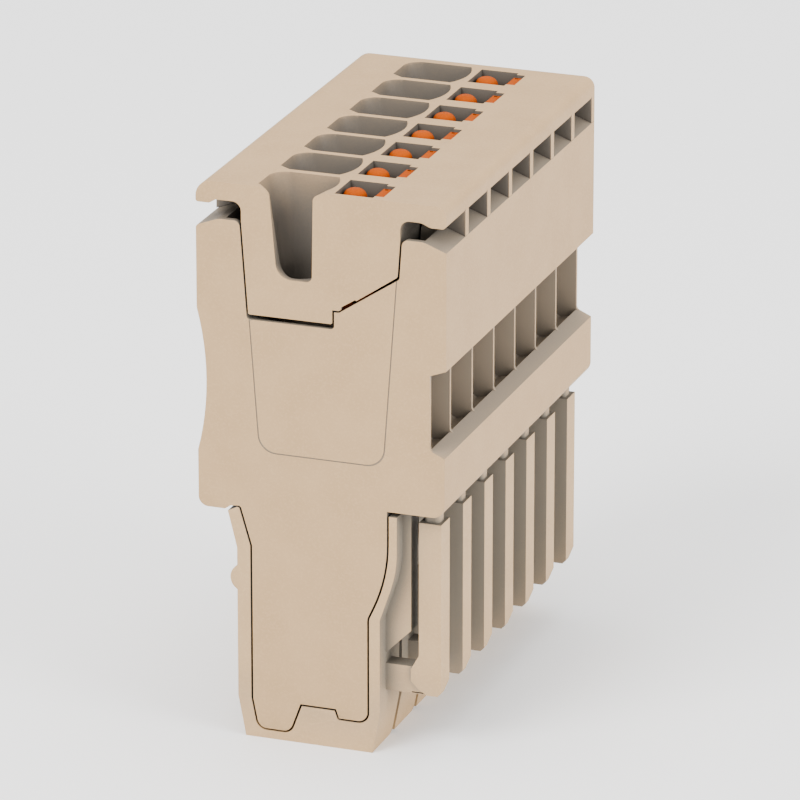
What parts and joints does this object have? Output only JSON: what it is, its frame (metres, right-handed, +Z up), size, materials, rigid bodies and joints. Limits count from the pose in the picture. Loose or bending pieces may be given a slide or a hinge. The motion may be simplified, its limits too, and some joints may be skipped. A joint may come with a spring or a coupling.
{
  "type": "pluggable terminal block",
  "caption": "Pluggable terminal block with a row of push-in wire clamps, funnel entries, release buttons and latch shoes below.",
  "frame": {"origin": "middle of the footprint, on the surface that the block stands on", "axes": "+X across the poles towards the latch bars, +Y along the row from pole 1 to pole 7, +Z up towards the wire entries"},
  "size_m": [0.0206, 0.0358, 0.0459],
  "materials": {
    "housing": "fine matt moulded",
    "release": "satin moulded",
    "contact": "bright tin plated",
    "spring": "bright rolled"
  },
  "bodies": {
    "housing": {"cover": "housing", "body": "housing", "shoe_1": "housing", "shoe_2": "housing", "shoe_3": "housing", "shoe_4": "housing", "shoe_5": "housing", "shoe_6": "housing", "shoe_7": "housing", "contact_1": "contact", "contact_2": "contact", "contact_3": "contact", "contact_4": "contact", "contact_5": "contact", "contact_6": "contact", "contact_7": "contact", "spring_1": "spring", "spring_2": "spring", "spring_3": "spring", "spring_4": "spring", "spring_5": "spring", "spring_6": "spring", "spring_7": "spring"},
    "release_1": {"button_1": "release"},
    "release_2": {"button_2": "release"},
    "release_3": {"button_3": "release"},
    "release_4": {"button_4": "release"},
    "release_5": {"button_5": "release"},
    "release_6": {"button_6": "release"},
    "release_7": {"button_7": "release"}
  },
  "joints": [
    {"name": "press_1", "type": "slide", "parent": "housing", "child": "release_1", "axis": [0, 0, -1], "range_m": [0, 0.0015], "stiffness_N_per_m": 4000, "deforming": ["spring_1"]},
    {"name": "press_2", "type": "slide", "parent": "housing", "child": "release_2", "axis": [0, 0, -1], "range_m": [0, 0.0015], "stiffness_N_per_m": 4000, "deforming": ["spring_2"]},
    {"name": "press_3", "type": "slide", "parent": "housing", "child": "release_3", "axis": [0, 0, -1], "range_m": [0, 0.0015], "stiffness_N_per_m": 4000, "deforming": ["spring_3"]},
    {"name": "press_4", "type": "slide", "parent": "housing", "child": "release_4", "axis": [0, 0, -1], "range_m": [0, 0.0015], "stiffness_N_per_m": 4000, "deforming": ["spring_4"]},
    {"name": "press_5", "type": "slide", "parent": "housing", "child": "release_5", "axis": [0, 0, -1], "range_m": [0, 0.0015], "stiffness_N_per_m": 4000, "deforming": ["spring_5"]},
    {"name": "press_6", "type": "slide", "parent": "housing", "child": "release_6", "axis": [0, 0, -1], "range_m": [0, 0.0015], "stiffness_N_per_m": 4000, "deforming": ["spring_6"]},
    {"name": "press_7", "type": "slide", "parent": "housing", "child": "release_7", "axis": [0, 0, -1], "range_m": [0, 0.0015], "stiffness_N_per_m": 4000, "deforming": ["spring_7"]}
  ]
}
